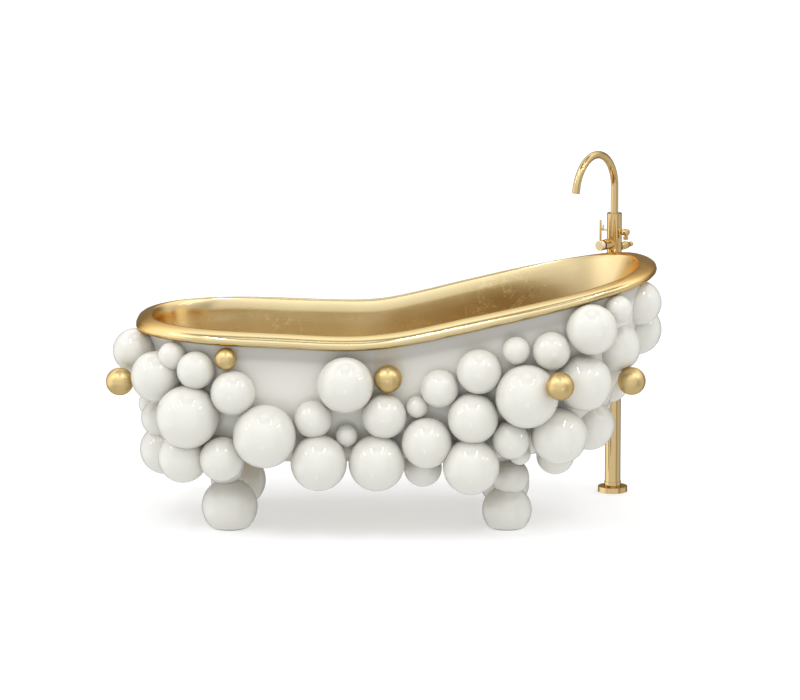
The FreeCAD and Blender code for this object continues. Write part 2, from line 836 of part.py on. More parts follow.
def tap_body():
    """Valve body: bores for spout, cartridge, diverter, outlet, hook and supply tubes."""
    spigot_radius = tap_column_radius - tap_column_wall - seat_gap
    spigot_foot = tap_column_top - tap_spigot_length
    body = cylinder(tap_body_radius, tap_body_top - tap_column_top, V(0, 0, tap_column_top))
    body = body.fuse(cylinder(spigot_radius, tap_spigot_length, V(0, 0, spigot_foot)))
    bore_foot = tap_body_top - spout_entry
    chamber_foot = V(mixer_cartridge_root - seat_gap, 0, mixer_height)
    diverter_foot = V(-diverter_plug_root, 0, diverter_height)
    hook_foot = V(0, cross_socket - tap_body_radius, cross_height)
    cuts = [
        cylinder(spout_radius + spout_bush_wall + seat_gap, spout_entry + cut_over, V(0, 0, bore_foot)),
        cylinder(tap_way_radius, bore_foot + cut_over - mixer_height, V(0, 0, mixer_height)),
        cylinder(mixer_cartridge_radius + seat_gap, tap_body_radius + cut_over, chamber_foot, X_AXIS),
        cylinder(diverter_plug_radius + seat_gap, tap_body_radius, diverter_foot, X_AXIS * -1),
        cylinder(tap_way_radius, tap_body_radius + cut_over, V(0, 0, cross_height), Y_AXIS),
        cylinder(hook_radius + running_clearance, tap_body_radius, hook_foot, Y_AXIS * -1),
    ]
    for side in (-1, 1):
        place = V(tap_supply_offset, side * tap_supply_spread / 2, spigot_foot)
        cuts.append(cylinder(tap_supply_radius + seat_gap, tap_supply_entry + seat_gap, place))
        cuts.append(cylinder(tap_supply_radius - tap_supply_wall, mixer_height - spigot_foot, place))
    for cut in cuts:
        body = body.cut(cut)
    return body


def off_body(shape):
    """Shapes the foot of a side piece to sit on the round body."""
    height = tap_body_top - tap_column_top
    return shape.cut(cylinder(tap_body_radius + seat_gap, height, V(0, 0, tap_column_top)))


def spout_pieces():
    """Spout with its bend, the bush and seal it turns in, and its aerator."""
    foot = tap_body_top - spout_entry + seat_gap
    straight = UP * (spout_bend_height - foot)
    spout = bent_tube(spout_radius, spout_wall, V(0, 0, foot), straight,
                      spout_bend_radius, spout_bend_deg, X_AXIS)
    bend = math.radians(spout_bend_deg)
    heading = V(math.sin(bend), 0, math.cos(bend))
    end = V(0, 0, spout_bend_height) + V(1 - heading.z, 0, heading.x) * spout_bend_radius
    housing = tube(aerator_radius, aerator_radius - aerator_wall, aerator_length, end, heading)
    insert_foot = end + heading * (aerator_length - aerator_insert_lift - aerator_insert_height)
    insert = cylinder(aerator_radius - aerator_wall - seat_gap, aerator_insert_height, insert_foot, heading)
    across = Y_AXIS.cross(heading)
    for k in range(aerator_hole_count):
        angle = 2 * math.pi * k / aerator_hole_count
        offset = (Y_AXIS * math.cos(angle) + across * math.sin(angle)) * aerator_hole_circle
        hole_foot = insert_foot + offset - heading * cut_over
        hole_length = aerator_insert_height + cut_over * 2
        insert = insert.cut(cylinder(aerator_hole_radius, hole_length, hole_foot, heading))
    pieces = {"spout": spout, "aerator_housing": housing, "aerator_insert": insert}
    for piece in pieces.values():
        piece.rotate(V(0, 0, 0), UP, spout_turn_deg)
    seal_foot = tap_body_top - spout_entry
    bush_foot = seal_foot + spout_seal_height
    ring_radius = spout_radius + spout_bush_wall
    pieces["spout_seal"] = tube(ring_radius, spout_radius + seat_gap, spout_seal_height, V(0, 0, seal_foot))
    bush_bore = spout_radius + running_clearance
    pieces["spout_bush"] = tube(ring_radius, bush_bore, tap_body_top - bush_foot, V(0, 0, bush_foot))
    return pieces


def mixer_pieces():
    """Mixer built along X at the mixer's height."""
    level = V(0, 0, mixer_height)
    housing_foot = level + X_AXIS * mixer_housing_root
    sleeve = mixer_cartridge_radius + seat_gap
    housing_length = mixer_housing_reach - mixer_housing_root
    housing = tube(mixer_housing_radius, sleeve, housing_length, housing_foot, X_AXIS)
    cartridge_foot = level + X_AXIS * mixer_cartridge_root
    cartridge_length = mixer_cartridge_reach - mixer_cartridge_root
    cartridge = cylinder(mixer_cartridge_radius, cartridge_length, cartridge_foot, X_AXIS)
    spindle_foot = level + X_AXIS * (mixer_cartridge_reach - mixer_spindle_depth)
    hole_radius = mixer_spindle_radius + running_clearance
    spindle_hole = cylinder(hole_radius, mixer_spindle_depth + cut_over, spindle_foot, X_AXIS)
    nut_foot = level + X_AXIS * mixer_cartridge_reach
    nut = tube(mixer_cartridge_radius, mixer_spindle_radius + seat_gap, mixer_nut_length, nut_foot, X_AXIS)
    return {
        "mixer_housing": off_body(housing),
        "mixer_cartridge": cartridge.cut(spindle_hole),
        "mixer_nut": nut,
        "mixer_yoke": mixer_yoke(spindle_foot + X_AXIS * seat_gap),
        "mixer_tilt_pin": mixer_tilt_pin(),
        "mixer_cap": mixer_cap(),
        "lever_pin": lever_pin(),
    }


def mixer_yoke(foot):
    """Spindle with a disc and two cheeks that carry the tilt pin."""
    disc_x = mixer_cartridge_reach + mixer_nut_length + seat_gap
    cheek_x = disc_x + mixer_yoke_length
    yoke = cylinder(mixer_spindle_radius, cheek_x - foot.x, foot, X_AXIS)
    yoke = yoke.fuse(cylinder(mixer_yoke_radius, mixer_yoke_length, V(disc_x, 0, mixer_height), X_AXIS))
    half_gap = mixer_tongue_width / 2 + seat_gap
    length = mixer_pivot_reach + mixer_cheek_thickness - disc_x
    for low_y in (half_gap, -half_gap - mixer_cheek_thickness):
        corner = V(disc_x, low_y, mixer_height - mixer_cheek_thickness)
        cheek = Part.makeBox(length, mixer_cheek_thickness, mixer_cheek_thickness * 2, corner)
        yoke = yoke.fuse(cheek)
    bore_foot = V(mixer_pivot_reach, -mixer_yoke_radius, mixer_height)
    bore_radius = mixer_pivot_radius + running_clearance
    return yoke.cut(cylinder(bore_radius, mixer_yoke_radius * 2, bore_foot, Y_AXIS))


def mixer_tilt_pin():
    half = mixer_tongue_width / 2 + seat_gap + mixer_cheek_thickness
    return cylinder(mixer_pivot_radius, half * 2, V(mixer_pivot_reach, -half, mixer_height), Y_AXIS)


def mixer_cap():
    """Round cap with a tongue on the tilt pin and the lever's socket in its top."""
    face_x = mixer_pivot_reach + mixer_cap_gap
    cap = cylinder(mixer_housing_radius, mixer_cap_thickness, V(face_x, 0, mixer_height), X_AXIS)
    cap = cap.makeChamfer(mixer_cap_chamfer, [edge for edge in cap.Edges if len(edge.Vertexes) == 1])
    low = mixer_pivot_reach - mixer_cheek_thickness
    corner = V(low, -mixer_tongue_width / 2, mixer_height - mixer_cheek_thickness)
    tongue = Part.makeBox(face_x - low + seat_gap, mixer_tongue_width, mixer_cheek_thickness * 2, corner)
    cap = cap.fuse(tongue)
    pivot_foot = V(mixer_pivot_reach, -mixer_yoke_radius, mixer_height)
    pivot_bore_radius = mixer_pivot_radius + running_clearance
    cap = cap.cut(cylinder(pivot_bore_radius, mixer_yoke_radius * 2, pivot_foot, Y_AXIS))
    socket = cylinder(lever_radius + running_clearance, lever_socket + cut_over, lever_foot())
    return cap.cut(socket)


def lever_foot():
    height = mixer_height + mixer_housing_radius - lever_socket
    return V(mixer_pivot_reach + mixer_cap_gap + lever_set_back, 0, height)


def lever_pin():
    foot = lever_foot()
    pin = cylinder(lever_radius, mixer_height + lever_rise - foot.z, foot)
    top_edges = [edge for edge in pin.Edges if edge.BoundBox.ZMin > foot.z]
    return pin.makeChamfer(lever_radius * chamfer_share, top_edges)


def diverter_pieces():
    """Diverter built along Z, then laid along the body's back."""
    neck_foot = diverter_plug_root + seat_gap
    neck = cylinder(diverter_plug_radius, diverter_bonnet_reach - neck_foot, V(0, 0, neck_foot))
    bonnet_root = tap_body_radius - diverter_bonnet_radius
    flange = cylinder(diverter_bonnet_radius, diverter_bonnet_reach - bonnet_root, V(0, 0, bonnet_root))
    knob_foot = diverter_bonnet_reach + seat_gap
    outline = [(0, 0)]
    outline += [(diverter_knob_radius * r, diverter_knob_length * h) for h, r in diverter_knob_shares]
    knob = revolved(outline + [(0, diverter_knob_length)], V(0, 0, knob_foot))
    spindle_top = knob_foot + diverter_spindle_socket
    spindle_length = spindle_top - diverter_spindle_root
    spindle = cylinder(diverter_spindle_radius, spindle_length, V(0, 0, diverter_spindle_root))
    hole = diverter_spindle_radius + running_clearance
    socket_length = diverter_spindle_socket + seat_gap + cut_over
    knob = knob.cut(cylinder(hole, socket_length, V(0, 0, knob_foot - cut_over)))
    bore = cylinder(hole, diverter_bonnet_reach + cut_over, V(0, 0, 0))
    back = X_AXIS * -1
    level = V(0, 0, diverter_height)
    parts = [laid_along(shape, back) for shape in (flange, neck, bore, knob, spindle)]
    for shape in parts:
        shape.translate(level)
    flange, neck, bore, knob, spindle = parts
    bonnet = off_body(flange).fuse(neck).cut(bore)
    return {"diverter_bonnet": bonnet, "diverter_knob": knob, "diverter_spindle": spindle}


def cross_pieces():
    """Hand shower outlet with its nipple, and the hook on the other side."""
    outline = [
        (0, tap_body_radius - outlet_radius),
        (outlet_root_radius, tap_body_radius - outlet_radius),
        (outlet_root_radius, tap_body_radius + outlet_rim),
        (outlet_radius, nipple_reach - nipple_flare_radius),
        (outlet_radius, outlet_reach - outlet_rim / 4),
        (outlet_radius - outlet_rim / 4, outlet_reach),
        (0, outlet_reach),
    ]
    outlet = laid_along(revolved(outline), Y_AXIS)
    outlet.translate(V(0, 0, cross_height))
    outlet = off_body(outlet)
    way_length = nipple_reach + tap_way_radius
    outlet = outlet.cut(cylinder(tap_way_radius, way_length, V(0, 0, cross_height), Y_AXIS))
    place = V(0, nipple_reach, cross_height - nipple_drop)
    outlet = outlet.cut(cylinder(nipple_bore_radius, nipple_drop, place))
    nipple = cylinder(nipple_radius, nipple_drop - outlet_root_radius, place)
    nipple = nipple.fuse(cylinder(nipple_flare_radius, nipple_flare_height, place))
    nipple = nipple.cut(cylinder(outlet_radius + seat_gap, outlet_reach, V(0, 0, cross_height), Y_AXIS))
    nipple = nipple.cut(cylinder(nipple_bore_radius, cross_height, V(0, nipple_reach, 0)))
    root = tap_body_radius - cross_socket + seat_gap
    hook = cylinder(hook_radius, hook_reach - root, V(0, -root, cross_height), Y_AXIS * -1)
    tip = V(0, -hook_reach, cross_height)
    hook = hook.fuse(Part.makeSphere(hook_ball_radius, tip))
    hook = hook.fuse(cylinder(hook_peg_radius, hook_peg_height, tip))
    return {"hose_outlet": outlet, "hose_nipple": nipple, "handset_hook": hook}


def tap():
    """Whole bath filler, turned and set in its place behind the raised end."""
    nodes, base_grub = tap_base()
    bush_seat = spout_radius + spout_bush_wall + seat_gap
    top_grub = grub(tap_body_top - top_grub_drop, top_grub_deg, bush_seat, tap_body_radius)
    nodes["tap_body"] = tap_body().cut(grub_hole(top_grub))
    nodes["tap_grub_screws"] = [grub_screw(base_grub), grub_screw(top_grub)]
    nodes.update(spout_pieces())
    nodes.update(mixer_pieces())
    nodes.update(diverter_pieces())
    nodes.update(cross_pieces())
    for shapes in nodes.values():
        for shape in shapes if isinstance(shapes, list) else [shapes]:
            shape.rotate(V(0, 0, 0), UP, tap_turn_deg)
            shape.translate(V(tap_x, tap_y, 0))
    return nodes


# Place and heights of the filler's pieces, from the raised rim up and from the filler's top
tap_x = rim_length / 2 * tap_end_share
tap_y = rim_half_width * tap_side_share
tap_body_top = low_rim_height + rim_rise + tap_body_rise
tap_column_top = tap_body_top - tap_body_length
spout_bend_height = tap_body_top + spout_bend_rise
mixer_height = tap_body_top - mixer_drop
diverter_height = tap_body_top - diverter_drop
cross_height = tap_body_top - cross_drop

# Outlines that the shells share
rim_heights = [low_rim_height + rim_rise * s[2] for s in rim_station_shares]
rim_points = station_points(rim_length, rim_half_width, -rim_length / 2, rim_heights)
station_parameters = even_parameters(rim_points)
rim_curve = closed_curve(rim_points)
rim_samples = [rim_curve.value(k / rim_sample_count) for k in range(rim_sample_count)]
frames = station_frames()
plan_normals = [V(out.x, out.y, 0).normalize() for _, out, _ in frames]
collar_drop = roll_height / 2 + roll_bead_gap + collar_height
collar_foot = rim_offset(-collar_foot_set_in, -collar_drop)
collar_rows = [collar_foot, rim_offset(-collar_top_set_in, collar_height - collar_drop)]
skirt_top = [point - UP * seat_gap for point in collar_foot]
skirt_foot = station_points(skirt_foot_length, skirt_foot_half_width, skirt_foot_set_in - rim_length / 2,
                            [skirt_foot_height] * len(rim_station_shares))
skirt_rows = wall_rows(skirt_foot, skirt_top, skirt_row_shares, 0)
skirt_faces = loft_faces(skirt_rows, False)
core_height = low_rim_height + rim_rise + roll_height
basin_floor_height = frame_foot_height + rail_size + seat_gap + basin_wall
basin_floor = station_points(basin_floor_length, basin_floor_half_width, basin_floor_set_in - rim_length / 2,
                             [basin_floor_height] * len(rim_station_shares))
basin_edge_share = (basin_top_set_in - basin_wall) * 2 / roll_width
basin_top_drop = roll_height / 2 * math.sqrt(1 - basin_edge_share ** 2) + roll_bead_gap
basin_top = rim_offset(-basin_top_set_in, -basin_top_drop)
basin_centre_x = basin_floor_set_in - rim_length / 2 + basin_floor_length / 2

# Foot and leg balls, in keeping with the frame's height
foot_low_radius = frame_foot_height * foot_low_radius_share
foot_low_height = frame_foot_height * foot_low_height_share
foot_high_radius = frame_foot_height * foot_high_radius_share
foot_high_height = frame_foot_height * foot_high_height_share
leg_ball_radius = frame_foot_height * leg_ball_radius_share
leg_ball_low_height = frame_foot_height * leg_ball_low_share
leg_ball_high_height = frame_foot_height * leg_ball_high_share

# Legs: name, place, foot ball radius and height, leg ball place and height
legs = [
    ("front_low", foot_front_low_x, -leg_spread / 2, foot_low_radius, foot_low_height,
     foot_front_low_x + leg_ball_low_shift, leg_ball_low_height),
    ("back_low", foot_back_low_x, leg_spread / 2, foot_low_radius, foot_low_height,
     foot_back_low_x + leg_ball_low_shift, leg_ball_low_height),
    ("front_high", foot_high_x, -leg_spread / 2, foot_high_radius, foot_high_height,
     foot_high_x + leg_ball_high_shift, leg_ball_high_height),
    ("back_high", foot_high_x, leg_spread / 2, foot_high_radius, foot_high_height,
     foot_high_x + leg_ball_high_shift, leg_ball_high_height),
]

nodes = {
    "rim_roll": rim_roll(),
    "inner_basin": basin(),
    "outer_skirt": skirt(),
    "skirt_collar": collar(),
    "support_frame": support_frame(),
    "foot_pads": foot_pads(),
}
nodes.update(leg_bolts())
nodes.update(trimmed_balls())
nodes.update(waste())
nodes.update(tap())

# The origin lies under the middle of everything, on the floor
whole = Part.makeCompound([Part.makeCompound(s) if isinstance(s, list) else s for s in nodes.values()])
box = whole.optimalBoundingBox()
centring = V(-(box.XMin + box.XMax) / 2, -(box.YMin + box.YMax) / 2, 0)

os.makedirs("parts", exist_ok=True)
for name, shapes in nodes.items():
    shape = Part.makeCompound(shapes) if isinstance(shapes, list) else shapes
    shape.translate(centring)
    shape.exportStep("parts/" + name + ".step")
print("centring", centring, "nodes", len(nodes))
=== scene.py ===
import bpy, bmesh, json, math
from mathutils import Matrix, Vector
from mathutils.bvhtree import BVHTree

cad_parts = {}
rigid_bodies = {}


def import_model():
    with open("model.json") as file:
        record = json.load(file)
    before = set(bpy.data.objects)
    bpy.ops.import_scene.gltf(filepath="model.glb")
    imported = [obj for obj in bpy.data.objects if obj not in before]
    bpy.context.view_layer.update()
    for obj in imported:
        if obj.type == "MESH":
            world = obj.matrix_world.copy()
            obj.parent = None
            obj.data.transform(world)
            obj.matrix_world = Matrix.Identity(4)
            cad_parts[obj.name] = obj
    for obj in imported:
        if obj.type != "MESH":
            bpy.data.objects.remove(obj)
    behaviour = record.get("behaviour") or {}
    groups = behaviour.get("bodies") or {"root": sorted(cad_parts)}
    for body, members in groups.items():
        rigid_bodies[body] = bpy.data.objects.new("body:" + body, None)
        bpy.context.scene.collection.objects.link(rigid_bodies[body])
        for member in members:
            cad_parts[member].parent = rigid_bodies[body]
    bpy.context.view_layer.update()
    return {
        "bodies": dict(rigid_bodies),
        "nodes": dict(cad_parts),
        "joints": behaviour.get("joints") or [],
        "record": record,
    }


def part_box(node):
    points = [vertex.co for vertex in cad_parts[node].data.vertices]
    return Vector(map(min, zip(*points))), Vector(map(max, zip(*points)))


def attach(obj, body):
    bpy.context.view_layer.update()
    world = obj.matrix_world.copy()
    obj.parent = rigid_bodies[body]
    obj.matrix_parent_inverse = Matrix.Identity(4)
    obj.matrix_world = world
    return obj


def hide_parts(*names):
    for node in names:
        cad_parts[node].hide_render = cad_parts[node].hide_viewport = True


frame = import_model()
nodes = frame["nodes"]

# Colours, as linear red, green and blue
lacquer_white = (0.63, 0.62, 0.57)
shell_white = (0.58, 0.57, 0.53)
rim_gold = (0.72, 0.59, 0.33)
tip_gold = (0.84, 0.55, 0.22)
leaf_gold = (0.77, 0.655, 0.43)
vein_gold = (1.0, 0.92, 0.58)
ball_gold = (0.66, 0.50, 0.24)
tap_gold = (0.61, 0.45, 0.22)
# Paler than tap_gold: the satin cap's colour holds a painted reflection of bright light
cap_gold_painted_reflection = (0.90, 0.80, 0.58)
waste_gold = (0.70, 0.50, 0.24)
copper_red = (0.72, 0.36, 0.22)
frame_white = (0.62, 0.62, 0.60)
steel_grey = (0.48, 0.48, 0.50)
rubber_black = (0.02, 0.02, 0.02)
plastic_white = (0.62, 0.62, 0.60)
# Gold seen at a glancing angle
edge_gold = (0.85, 0.66, 0.42)
# What the leaf's colour is multiplied by towards the raised end: painted shade, darker and browner
raised_end_shade_tint = (0.78, 0.71, 0.60)
# The shell's white against shell_white: least and most in the open, and with painted shade under the roll
open_shades = (1.17, 1.23)
painted_shade_level = 0.76

# Where the leaf on the basin's back wall is veined: fully within one distance, not at all beyond the other
vein_places = [(-0.37, 0.31, 0.55), (0.37, 0.34, 0.66)]
vein_full = 0.05
vein_none = 0.17


def ramp_in(tree, value, stops):
    """A ramp in a node tree: each stop has its place and its grey level."""
    made = tree.nodes.new("ShaderNodeValToRGB")
    bar = made.color_ramp.elements
    while len(bar) < len(stops):
        bar.new(0.5)
    for element, (at, level) in zip(bar, stops):
        element.position = at
        element.color = (level, level, level, 1)
    tree.links.new(value, made.inputs["Fac"])
    return made.outputs["Color"]


class Finish:
    """A material of one Principled shader, with the few nodes that the finishes here share."""

    def __init__(self, name):
        self.material = bpy.data.materials.new(name)
        self.material.use_nodes = True
        self.nodes = self.material.node_tree.nodes
        self.links = self.material.node_tree.links
        self.shader = next(n for n in self.nodes if n.type == "BSDF_PRINCIPLED")
        self.place = self.node("ShaderNodeTexCoord").outputs["Object"]

    def node(self, kind, **settings):
        made = self.nodes.new(kind)
        for name, value in settings.items():
            setattr(made, name, value)
        return made

    def set(self, **values):
        for name, value in values.items():
            self.shader.inputs[name.replace("_", " ")].default_value = value

    def join(self, a, b):
        self.links.new(a, b)

    def stretched(self, scale):
        mapping = self.node("ShaderNodeMapping")
        mapping.inputs["Scale"].default_value = scale
        self.join(self.place, mapping.inputs["Vector"])
        return mapping.outputs["Vector"]

    def noise(self, scale, detail=3.0, stretch=None, rough=0.5, bend=0.0):
        made = self.node("ShaderNodeTexNoise")
        made.inputs["Scale"].default_value = scale
        made.inputs["Detail"].default_value = detail
        made.inputs["Roughness"].default_value = rough
        made.inputs["Distortion"].default_value = bend
        self.join(self.stretched(stretch) if stretch else self.place, made.inputs["Vector"])
        return made.outputs["Fac"]

    def ramp(self, value, stops):
        return ramp_in(self.material.node_tree, value, stops)

    def lengthwise(self):
        """The place along the bath, in metres."""
        split = self.node("ShaderNodeSeparateXYZ")
        self.join(self.place, split.inputs[0])
        return split.outputs["X"]

    def calculated(self, operation, value, number=0.0):
        made = self.node("ShaderNodeMath", operation=operation)
        made.inputs[1].default_value = number
        self.join(value, made.inputs[0])
        return made.outputs[0]

    def ranged(self, value, low, high, to_low, to_high):
        made = self.node("ShaderNodeMapRange")
        limits = {"From Min": low, "From Max": high, "To Min": to_low, "To Max": to_high}
        for name, limit in limits.items():
            made.inputs[name].default_value = limit
        self.join(value, made.inputs["Value"])
        return made.outputs["Result"]

    def near(self, centre, full, none):
        """1 within the first distance of a place, 0 beyond the second."""
        gap = self.node("ShaderNodeVectorMath", operation="DISTANCE")
        gap.inputs[1].default_value = centre
        self.join(self.place, gap.inputs[0])
        return self.ramp(gap.outputs["Value"], [(full, 1.0), (none, 0.0)])

    def mixed(self, share, a, b, way="MIX"):
        made = self.node("ShaderNodeMix", data_type="RGBA", blend_type=way)
        for value, socket in ((share, made.inputs[0]), (a, made.inputs[6]), (b, made.inputs[7])):
            if isinstance(value, bpy.types.NodeSocket):
                self.join(value, socket)
            elif hasattr(value, "__len__"):
                socket.default_value = (*value, 1)
            else:
                socket.default_value = value
        return made.outputs[2]

    def attribute(self, name):
        return self.node("ShaderNodeAttribute", attribute_name=name).outputs["Fac"]

    def colour(self, value):
        self.join(value, self.shader.inputs["Base Color"])

    def roughness(self, value, low, high):
        self.join(self.ranged(value, 0.0, 1.0, low, high), self.shader.inputs["Roughness"])

    def bump(self, value, depth, strength=1.0):
        made = self.node("ShaderNodeBump")
        made.inputs["Distance"].default_value = depth
        made.inputs["Strength"].default_value = strength
        self.join(value, made.inputs["Height"])
        self.join(made.outputs["Normal"], self.shader.inputs["Normal"])


def shade(colour, factor):
    """The same colour, lighter or darker."""
    return tuple(min(1.0, c * factor) for c in colour)


def lacquered(name):
    """Lacquer under a hard clear coat, faintly uneven like a sprayed skin, still without its colour."""
    made = Finish(name)
    made.set(Specular_IOR_Level=0.0, Coat_Weight=1.0, Coat_IOR=1.7, Coat_Roughness=0.035)
    made.roughness(made.noise(40, 3.0), 0.4, 0.6)
    made.bump(made.noise(18, 2.0), 0.0001)
    return made


def ball_lacquer():
    made = lacquered("white_lacquer")
    cloud = made.noise(2.5, 2.0)
    made.colour(made.mixed(cloud, shade(lacquer_white, 0.97), shade(lacquer_white, 1.03)))
    return made.material


def shell_lacquer():
    """The same lacquer on the shell, darker in a soft band of painted shade under the roll."""
    made = lacquered("white_shell")
    cloud = made.noise(2.5, 2.0)
    open_white = made.mixed(cloud, *(shade(shell_white, factor) for factor in open_shades))
    # Painted shade: the white is mixed darker by the share of the band under the roll
    made.colour(made.mixed(made.attribute("painted_shade_under_rim"), open_white, shade(shell_white, painted_shade_level)))
    return made.material


def leaf_layers(made):
    """Colour, gloss cloud and brush streaks of the gold leaf, browner towards the raised end by painted
    shade.
    """
    cloud = made.noise(5.0, 4.0, rough=0.6)
    streak = made.noise(9.0, 3.0, stretch=(1.0, 1.0, 0.12))
    base = made.mixed(cloud, shade(leaf_gold, 0.86), shade(leaf_gold, 1.12))
    base = made.mixed(made.ramp(streak, [(0.35, 0.0), (0.75, 0.35)]), base, shade(leaf_gold, 1.25))
    along = made.ranged(made.lengthwise(), -1.0, 1.0, 0.0, 1.0)
    # Painted shade: the leaf darker and browner towards the raised end
    raised_end_shade = made.ramp(along, [(0.55, 0.0), (0.68, 1.0), (0.84, 1.0), (0.92, 0.0)])
    base = made.mixed(raised_end_shade, base, raised_end_shade_tint, "MULTIPLY")
    vein = made.noise(9.0, 5.0, rough=0.6, bend=1.5)
    line = made.ramp(vein, [(0.48, 0.0), (0.5, 1.0), (0.52, 0.0)])
    left, right = (made.near(place, vein_full, vein_none) for place in vein_places)
    patch = made.mixed(1.0, left, right, "ADD")
    return made.mixed(made.mixed(1.0, line, patch, "MULTIPLY"), base, vein_gold), cloud, streak


def leafed_gold():
    """Gold leaf on the inside: upright brush marks and bright veins."""
    made = Finish("gold_leaf")
    made.set(Metallic=1.0, Specular_Tint=(*edge_gold, 1))
    colour, cloud, streak = leaf_layers(made)
    made.colour(colour)
    made.roughness(cloud, 0.26, 0.42)
    made.bump(streak, 0.0006, 0.5)
    return made.material


def rolled_gold():
    """The rim: satin gold, warmer towards both ends of the bath, leafed like the basin below its shoulder."""
    made = Finish("gold_rim")
    made.set(Metallic=1.0, Specular_Tint=(*edge_gold, 1))
    low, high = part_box("rim_roll")
    middle, half = (low.x + high.x) / 2, (high.x - low.x) / 2
    off_middle = made.calculated("ABSOLUTE", made.calculated("SUBTRACT", made.lengthwise(), middle))
    warm = made.ramp(made.calculated("DIVIDE", off_middle, half), [(0.72, 0.0), (0.98, 0.85)])
    satin = made.noise(7.0, 4.0)
    rim = made.mixed(satin, shade(rim_gold, 0.95), shade(rim_gold, 1.06))
    rim = made.mixed(warm, rim, tip_gold)
    leaf, cloud, streak = leaf_layers(made)
    inside = made.attribute("leaf_share")
    made.colour(made.mixed(inside, rim, leaf))
    made.roughness(made.mixed(inside, (0.0, 0.0, 0.0), cloud), 0.18, 0.42)
    made.bump(made.mixed(inside, satin, streak), 0.0004, 0.4)
    return made.material


def ball_leaf():
    """The proud balls: rubbed gold leaf with soft patches."""
    made = Finish("gold_balls")
    made.set(Metallic=1.0, Specular_Tint=(*edge_gold, 1))
    cloud = made.noise(24.0, 5.0, rough=0.6)
    made.colour(made.mixed(cloud, shade(ball_gold, 0.85), shade(ball_gold, 1.2)))
    made.roughness(cloud, 0.28, 0.42)
    made.bump(made.noise(60.0, 3.0), 0.0002, 0.5)
    return made.material


def polished_metal(name, colour, low, high, wear=0.05, edge=(1, 1, 1)):
    """A turned and polished metal with fine marks and slightly uneven gloss."""
    made = Finish(name)
    made.set(Metallic=1.0, Specular_Tint=(*edge, 1))
    cloud = made.noise(30.0, 4.0)
    made.colour(made.mixed(cloud, shade(colour, 1 - wear), shade(colour, 1 + wear)))
    made.roughness(cloud, low, high)
    made.bump(made.noise(400.0, 2.0), 0.00003, 0.3)
    return made.material


def painted_steel():
    """The welded frame: white paint with a fine grain."""
    made = Finish("frame_steel")
    cloud = made.noise(60.0, 4.0)
    made.colour(made.mixed(cloud, shade(frame_white, 0.94), shade(frame_white, 1.05)))
    made.roughness(cloud, 0.35, 0.5)
    made.bump(made.noise(350.0, 3.0), 0.0001, 0.5)
    return made.material


def moulded(name, colour, low, high):
    """Moulded rubber or plastic with a dull, finely grained skin."""
    made = Finish(name)
    cloud = made.noise(80.0, 3.0)
    made.colour(made.mixed(cloud, shade(colour, 0.9), shade(colour, 1.1)))
    made.roughness(cloud, low, high)
    made.bump(made.noise(500.0, 2.0), 0.00005, 0.4)
    return made.material


finishes = {
    "white_lacquer": ball_lacquer(),
    "white_shell": shell_lacquer(),
    "gold_leaf": leafed_gold(),
    "gold_rim": rolled_gold(),
    "gold_balls": ball_leaf(),
    "filler_gold": polished_metal("filler_gold", tap_gold, 0.03, 0.07, edge=edge_gold),
    "waste_brass": polished_metal("waste_brass", waste_gold, 0.12, 0.25),
    "copper_tube": polished_metal("copper_tube", copper_red, 0.25, 0.4, 0.12),
    "frame_steel": painted_steel(),
    "plain_steel": polished_metal("plain_steel", steel_grey, 0.25, 0.38),
    "black_rubber": moulded("black_rubber", rubber_black, 0.6, 0.8),
    "plain_plastic": moulded("plain_plastic", plastic_white, 0.4, 0.55),
}
slot_of = {part["node"]: part["material_slot"] for part in frame["record"]["subparts"]}
for name, piece in nodes.items():
    piece.data.materials.clear()
    piece.data.materials.append(finishes[slot_of[name]])
# The mixer's cap is brushed to a satin, in a gold paler than the tap's that is a painted reflection of bright
# light
nodes["mixer_cap"].data.materials.clear()
nodes["mixer_cap"].data.materials.append(polished_metal("filler_gold_satin_painted_reflection", cap_gold_painted_reflection, 0.28, 0.36))


# Rim and basin shoulder, as one smooth skin swept round the roll

# Section over the roll from its underside to the crest: millimetres outward and upward of the centre line
roll_section = [(-14, -17.5), (0, -19), (12, -17.6), (22, -13.6), (28.5, -8), (31, -1), (29.6, 6), (25, 12),
                (18, 16.6), (8, 20.4), (-2, 23.2), (-12, 25.4), (-19, 26.4), (-24, 26.2)]
# Shoulder from the crest to the wall: height in millimetres, share of the way in
shoulder_section = [(25, 0.14), (22.4, 0.3), (17.8, 0.46), (11, 0.62), (3, 0.76), (-6, 0.87), (-16, 0.95)]
# Wall below: height in millimetres, how far it stands in from the basin's own face, share of leaf
wall_section = [(-28, 9.5, 0.6), (-44, 8.8, 0.75), (-64, 7.4, 0.88), (-88, 5.4, 0.96),
                (-114, 3.3, 1), (-140, 1.7, 1), (-165, 0.7, 1), (-190, 0.2, 1)]
# Its hidden back: height and how far it stands in, in millimetres
wall_back = [(-190, -2.5), (-120, -3), (-60, -3)]
# Share of leaf at the shoulder's foot
shoulder_leaf = 0.3
# Where the raised end starts and over what length it is reached, in metres, and how much lower its crest is
raised_start = 0.25
raised_length = 0.4
raised_drop = 0.27
# How far inside the basin a ray starts that looks for its wall, in metres
inside_start = 0.2

# Stations round the bath, passes that even their line and their lean, stations that one lean spans each way
rim_steps = 320
line_passes = 12
lean_passes = 24
lean_span = 6
# Thousandths of the roll's half size between which the roll is felt out, and their step
felt_shares = (600, 1300, 4)
# How far above and below the roll those rays start, in metres
felt_distance = 1
# Edges that bend more than this stay sharp
sharp_angle = math.radians(50)
millimetre = 0.001


